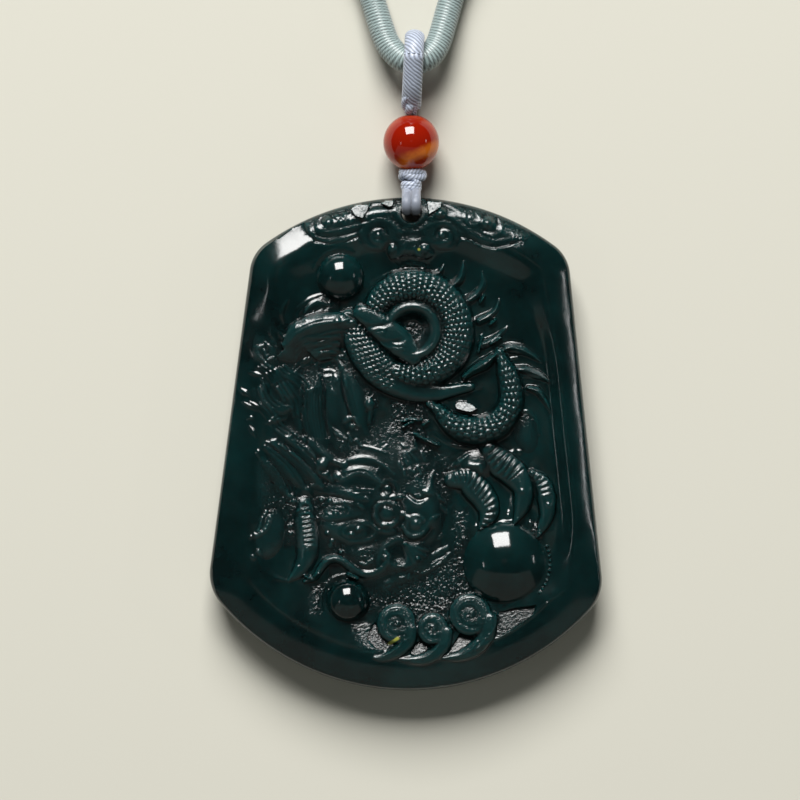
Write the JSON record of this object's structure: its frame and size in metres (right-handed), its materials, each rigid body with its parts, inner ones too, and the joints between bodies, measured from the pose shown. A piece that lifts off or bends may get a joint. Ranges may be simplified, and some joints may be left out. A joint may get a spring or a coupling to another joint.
{
  "type": "carved jade dragon pendant",
  "caption": "Carved jade dragon plaque with a drilled hole, hung by a knotted cord with an agate bead and a thread-wrapped bail on a neck cord.",
  "frame": {"origin": "middle of the plaque, on its flat back", "axes": "+Z out of the carved face, +Y toward the hole and the bail, +X to the right as the face is seen"},
  "size_m": [0.0426, 0.1253, 0.007],
  "materials": {
    "jade": "polished",
    "agate": "polished",
    "hanger_silk": "silk thread",
    "neck_silk": "silk thread"
  },
  "bodies": {
    "root": {"jade_plaque": "jade", "agate_bead": "agate", "hanger_cord": "hanger_silk", "neck_cord_right": "neck_silk", "neck_cord_left": "neck_silk", "neck_cord_coil": "neck_silk"}
  },
  "joints": []
}
